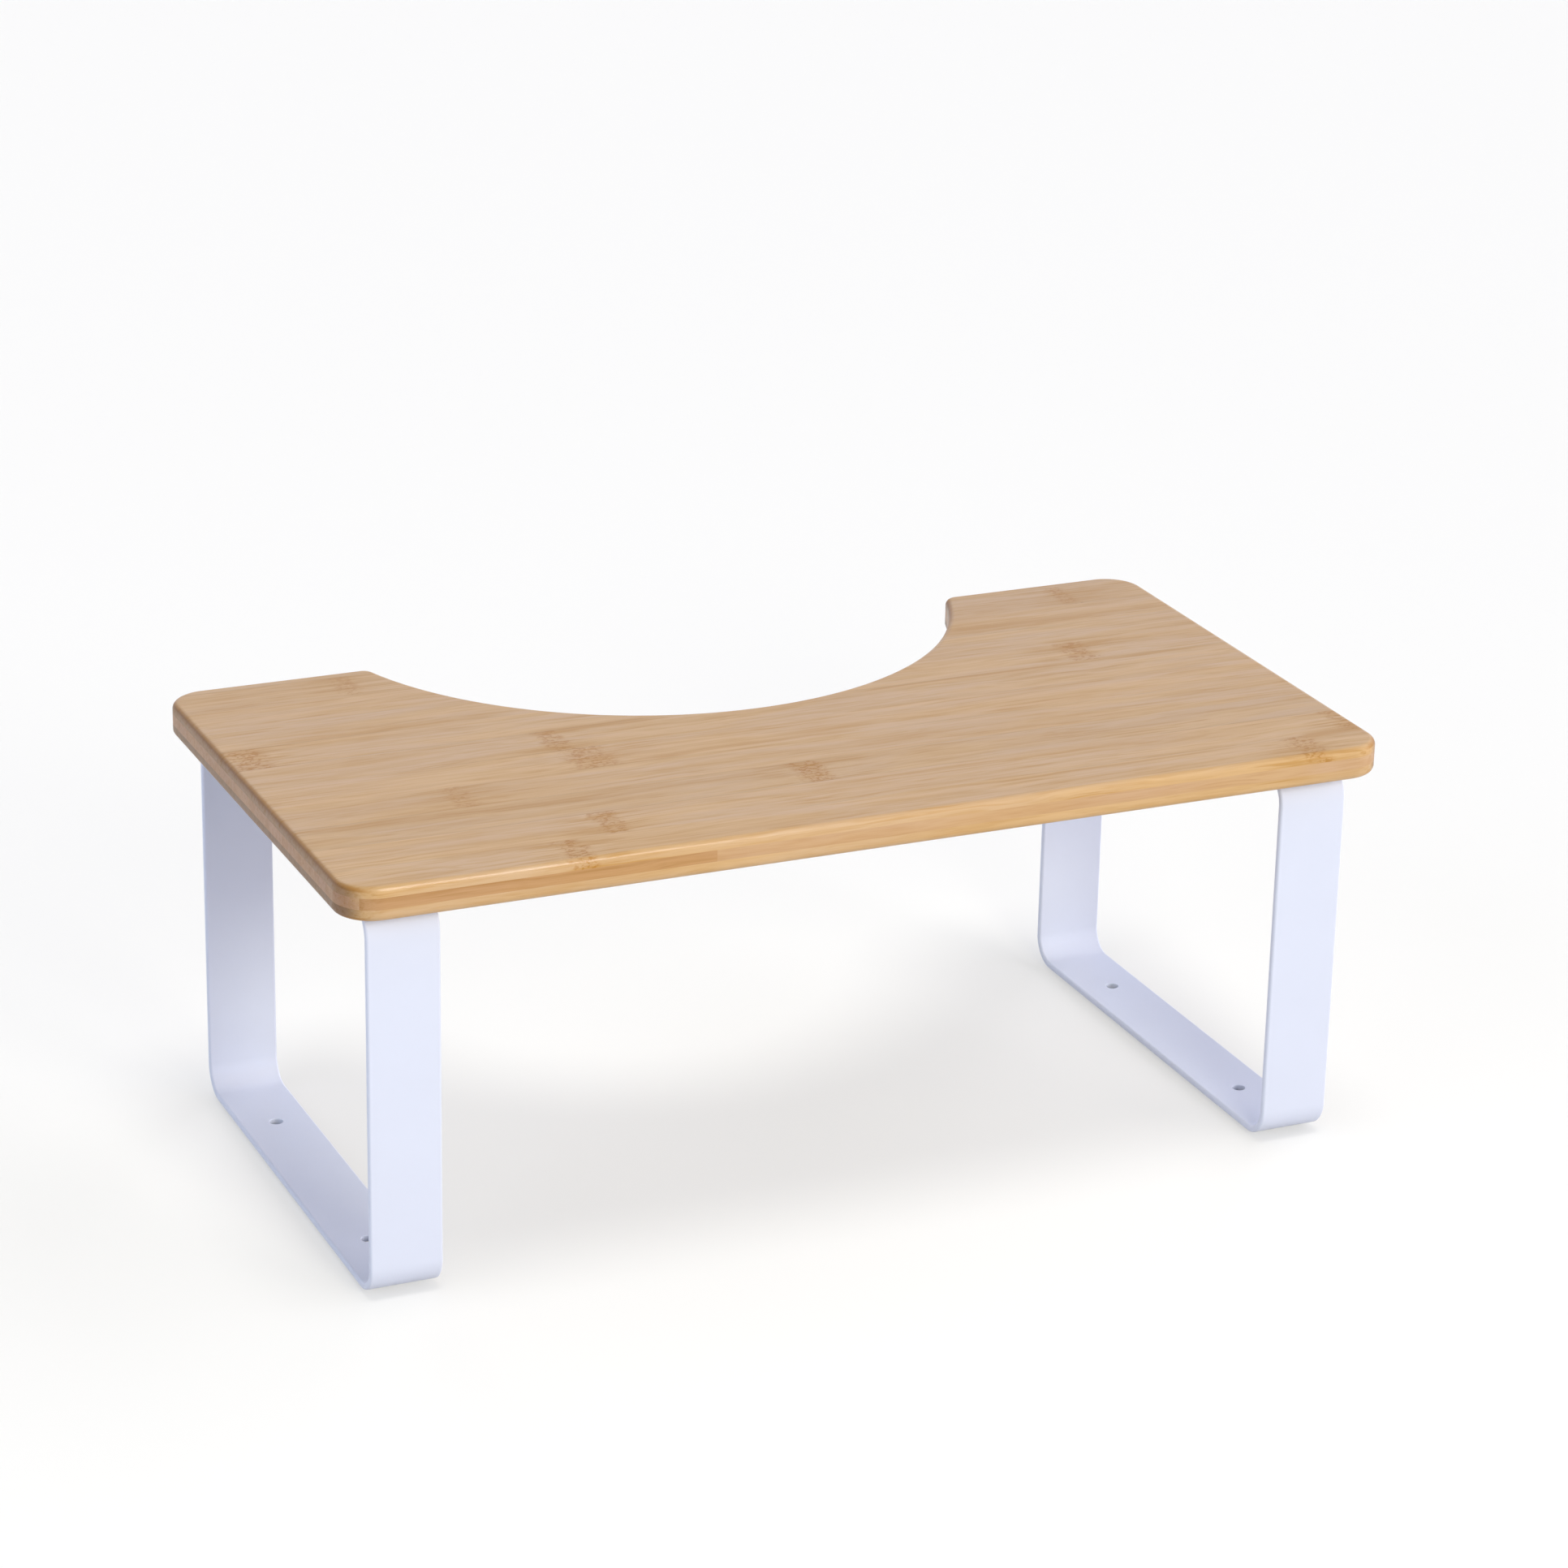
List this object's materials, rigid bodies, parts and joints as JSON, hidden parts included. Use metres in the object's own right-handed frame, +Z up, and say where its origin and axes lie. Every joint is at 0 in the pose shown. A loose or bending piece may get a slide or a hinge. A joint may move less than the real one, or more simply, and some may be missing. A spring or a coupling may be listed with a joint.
{
  "type": "toilet footstool",
  "caption": "Low rectangular bamboo footstool with a round cut-out in its back edge, on two closed rings of white flat bar.",
  "frame": {"origin": "on the floor, below the middle of the board", "axes": "+Z up, +Y towards the cut-out and the toilet, -Y towards the front edge, +X along the board's length, on the left of a user who sits facing -Y"},
  "size_m": [0.48, 0.25, 0.1915],
  "materials": {
    "board_face": "bamboo staves under satin clear lacquer",
    "board_core": "bamboo core staves, sanded edge under satin lacquer",
    "board_core_dark": "carbonised bamboo core stave, sanded edge under satin lacquer",
    "frame_coat": "smooth cool white powder coat, semi-gloss",
    "screw": "bright zinc plated",
    "pad": "matt pale grey non-slip foam rubber"
  },
  "bodies": {
    "root": {"top_ply": "board_face", "bottom_ply": "board_face", "core_stave_1_offcut": "board_core", "core_stave_1_dark": "board_core_dark", "core_stave_1_long": "board_core", "core_stave_2": "board_core", "core_stave_3": "board_core", "core_stave_4": "board_core", "core_stave_5": "board_core", "core_stave_6_left": "board_core", "core_stave_6_right": "board_core", "core_stave_7_left": "board_core", "core_stave_7_right": "board_core", "core_stave_8_left": "board_core", "core_stave_8_right": "board_core", "core_stave_9_left": "board_core", "core_stave_9_right": "board_core", "core_stave_10_left": "board_core", "core_stave_10_right": "board_core", "left_frame": "frame_coat", "right_frame": "frame_coat", "left_front_screw": "screw", "left_back_screw": "screw", "right_front_screw": "screw", "right_back_screw": "screw", "left_front_pad": "pad", "left_back_pad": "pad", "right_front_pad": "pad", "right_back_pad": "pad"}
  },
  "joints": []
}
